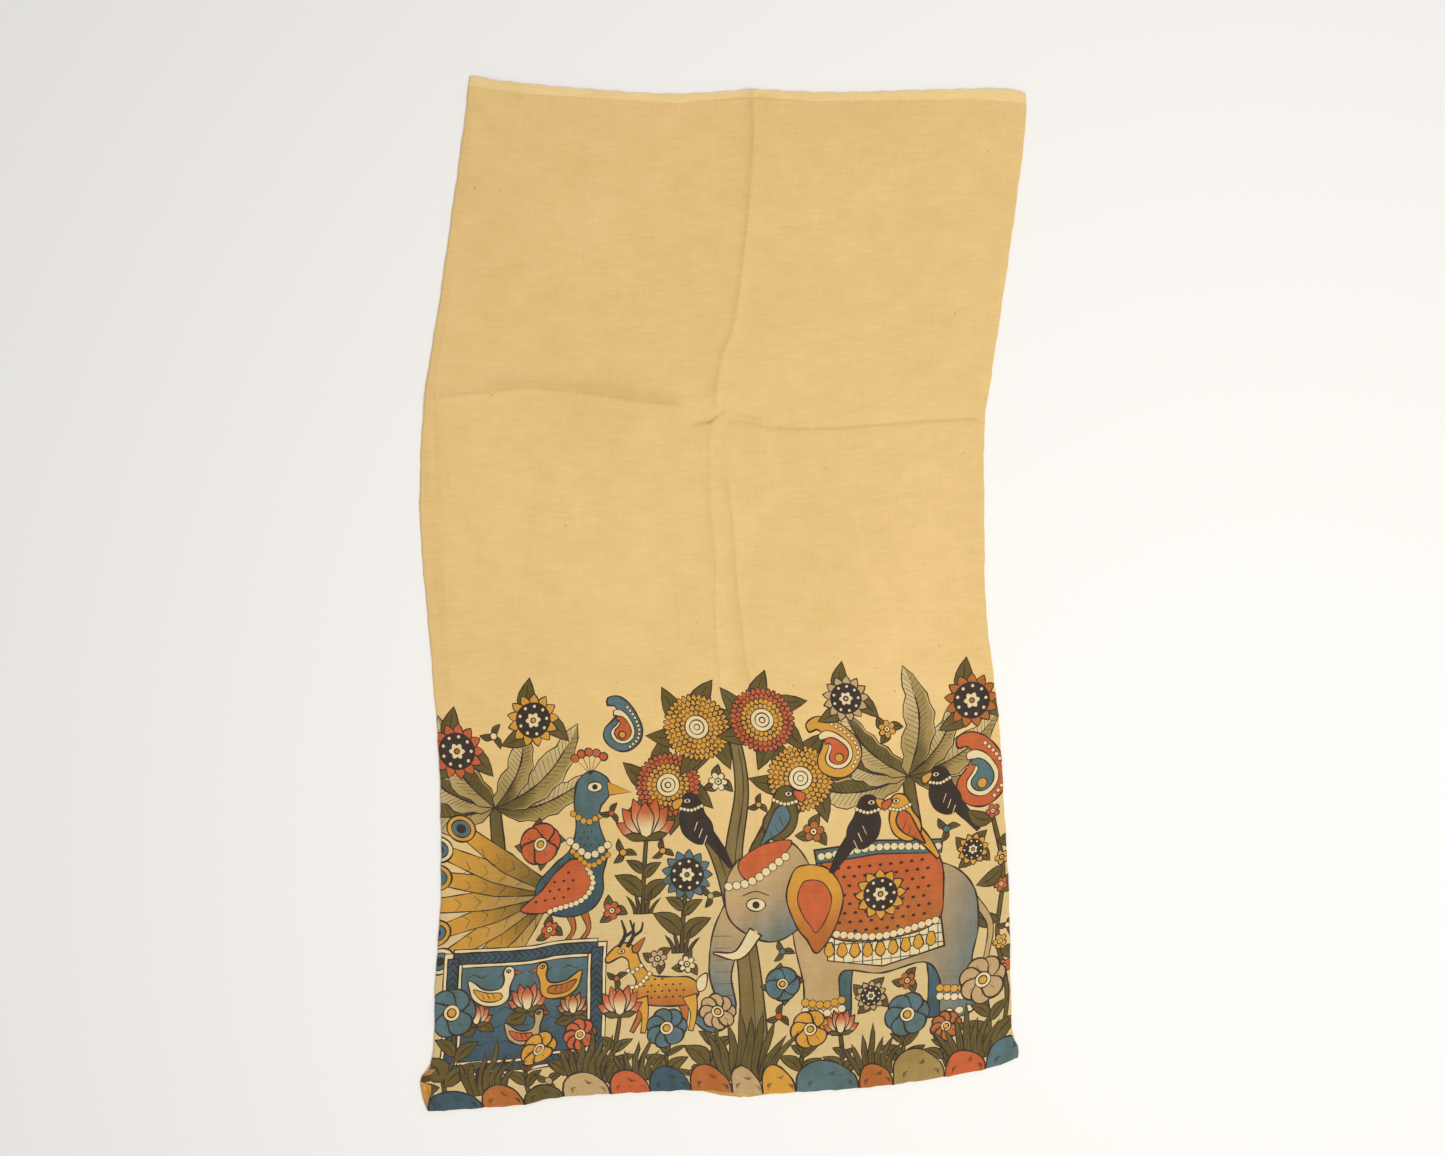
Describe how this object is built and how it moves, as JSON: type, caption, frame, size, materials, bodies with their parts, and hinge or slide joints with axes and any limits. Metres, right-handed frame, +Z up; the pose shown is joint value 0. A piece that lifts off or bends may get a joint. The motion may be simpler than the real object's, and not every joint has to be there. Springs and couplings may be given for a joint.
{
  "type": "kalamkari panel",
  "caption": "Thin mustard cotton cloth with a pen-drawn, dye-painted band along one edge, lying flat with its two ends folded under it.",
  "frame": {"origin": "middle of the lying cloth's box, on the surface it lies on", "axes": "+Y up the panel from the printed edge to the selvedge, +X across it to the right, +Z up off the surface"},
  "size_m": [0.6674, 1.1413, 0.0066],
  "materials": {
    "cotton": "matte plain-woven cotton, mustard yellow with a dye-painted band"
  },
  "bodies": {
    "root": {"cloth": "cotton"}
  },
  "joints": []
}
